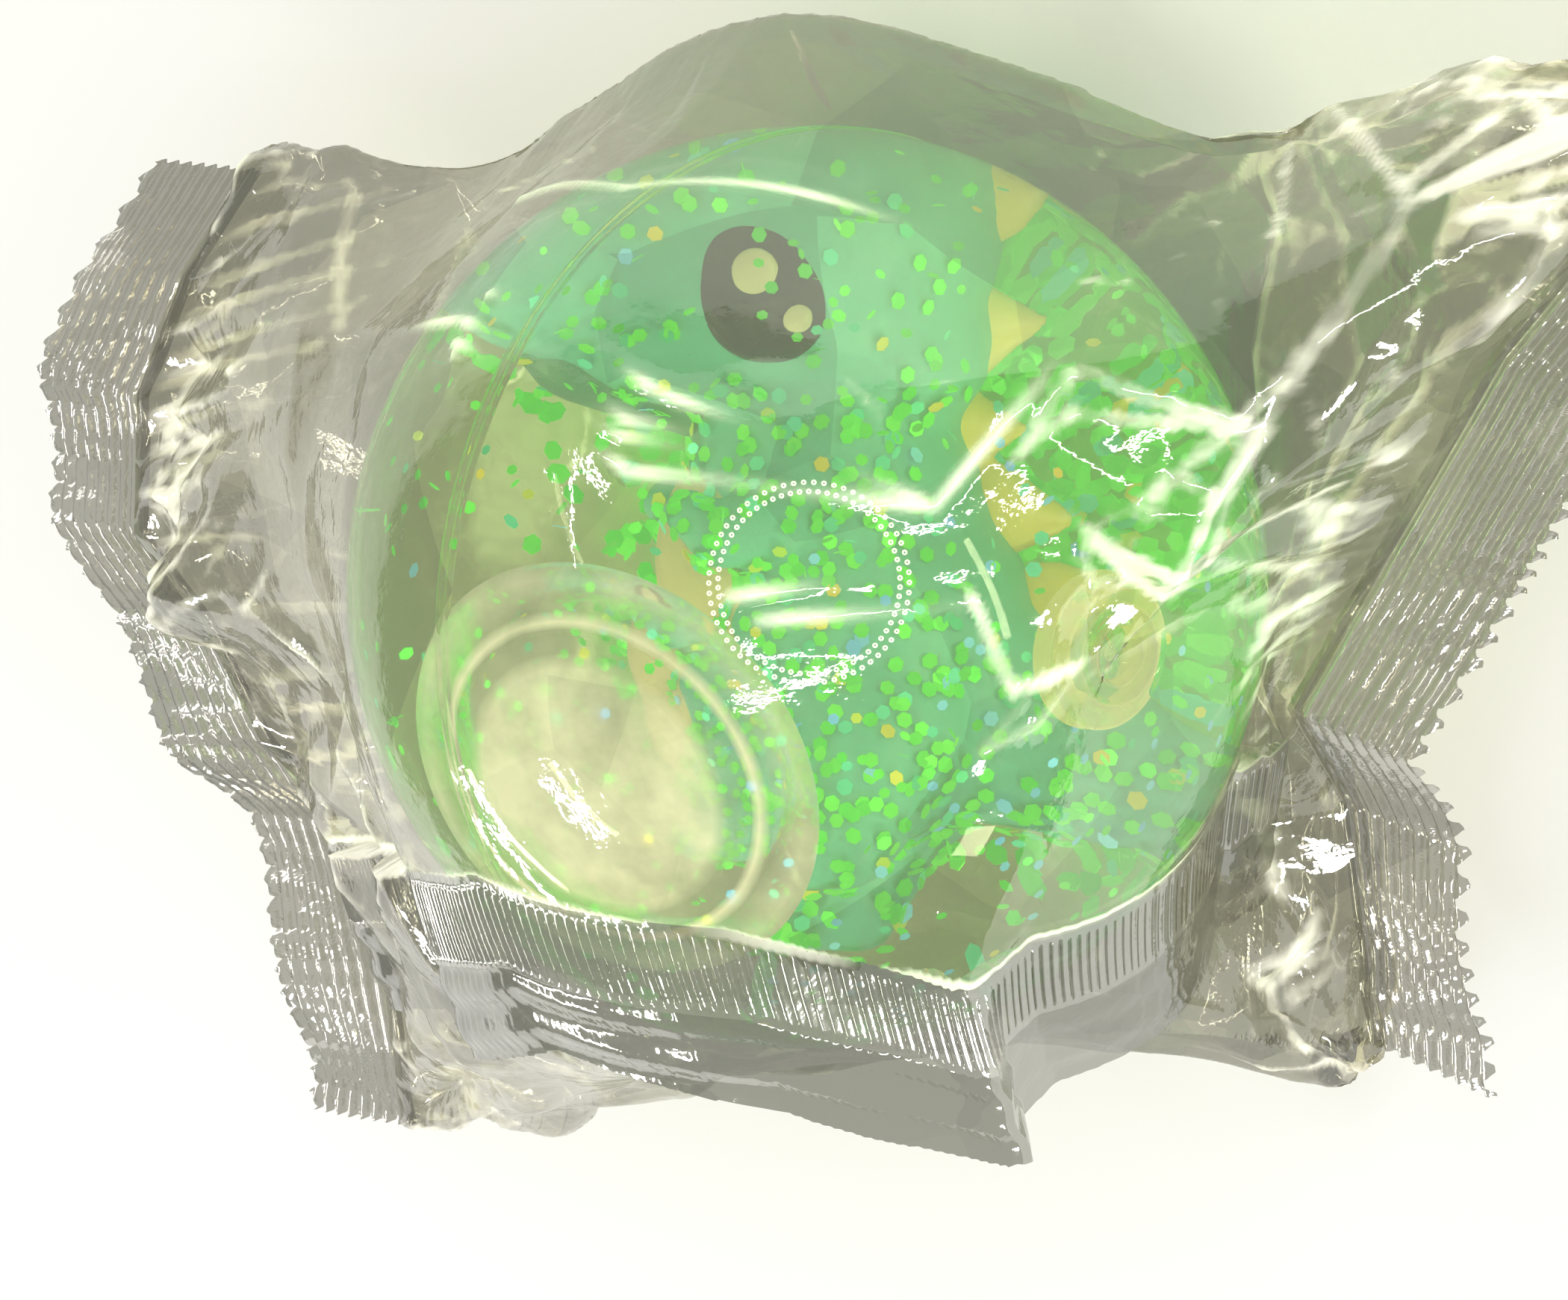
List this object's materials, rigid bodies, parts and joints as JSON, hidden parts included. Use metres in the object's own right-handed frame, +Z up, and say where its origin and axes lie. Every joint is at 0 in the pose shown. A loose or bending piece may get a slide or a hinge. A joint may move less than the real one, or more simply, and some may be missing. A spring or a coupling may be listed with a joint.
{
  "type": "liquid-filled glitter ball in a film bag",
  "caption": "Clear ball filled with water and glitter, with a toy dinosaur sunk inside, sealed in a flow-wrap film bag.",
  "frame": {"origin": "on the table, under the centre of the ball, in the plane of the bag's resting patch", "axes": "+X along the bag towards the end seal away from the fill plug, +Y towards the side that the fin seal is folded to, +Z up"},
  "size_m": [0.1674, 0.1127, 0.0771],
  "materials": {
    "clear_shell": "clear moulded soft PVC, glossy",
    "weld": "clear weld line, slightly hazy",
    "plug": "clear moulded plug, faintly yellow from its glue",
    "water": "clear liquid with a faint green tint",
    "glitter_green": "metallised polyester flake, bright green",
    "glitter_teal": "metallised polyester flake, teal",
    "glitter_gold": "metallised polyester flake, gold",
    "glitter_blue": "metallised polyester flake, blue",
    "figure_teal": "moulded soft vinyl, teal green",
    "figure_dark": "moulded soft vinyl, dark green",
    "figure_cream": "painted vinyl, cream",
    "figure_yellow": "painted vinyl, yellow",
    "figure_eye": "glossy enamel, dark navy",
    "figure_glint": "glossy enamel, cream white",
    "film": "clear crinkled polypropylene film",
    "sealed_film": "heat-crimped polypropylene film, ribbed"
  },
  "bodies": {
    "bag": {"film_upper": "film", "film_lower": "film", "fin_seal": "sealed_film", "fin_edge": "film", "plug_end_seal": "sealed_film", "far_end_seal": "sealed_film"},
    "ball": {"shell_plug_half": "clear_shell", "shell_plain_half": "clear_shell", "seam_weld": "weld", "plug_seat": "plug", "fill_plug": "plug"},
    "filling": {"water_fill": "water", "glitter_green": "glitter_green", "glitter_teal": "glitter_teal", "glitter_gold": "glitter_gold", "glitter_blue": "glitter_blue"},
    "figure": {"dino_head": "figure_teal", "dino_jaw": "figure_dark", "dino_trunk": "figure_teal", "dino_belly": "figure_cream", "dino_arms": "figure_teal", "dino_legs": "figure_teal", "dino_tail": "figure_teal", "dino_spikes": "figure_yellow", "dino_eyes": "figure_eye", "dino_eye_glints": "figure_glint"}
  },
  "joints": [
    {"name": "ball_turn", "type": "hinge", "parent": "bag", "child": "ball", "pos_m": [0, 0, 0.0386], "axis": [0, 0, 1], "continuous": true},
    {"name": "water_swirl", "type": "hinge", "parent": "ball", "child": "filling", "pos_m": [0, 0, 0.0386], "axis": [0, 0, 1], "continuous": true},
    {"name": "figure_drift", "type": "hinge", "parent": "filling", "child": "figure", "pos_m": [0.0072, 0.0087, 0.0236], "axis": [0, 0, 1], "range_deg": [-6, 6]}
  ]
}
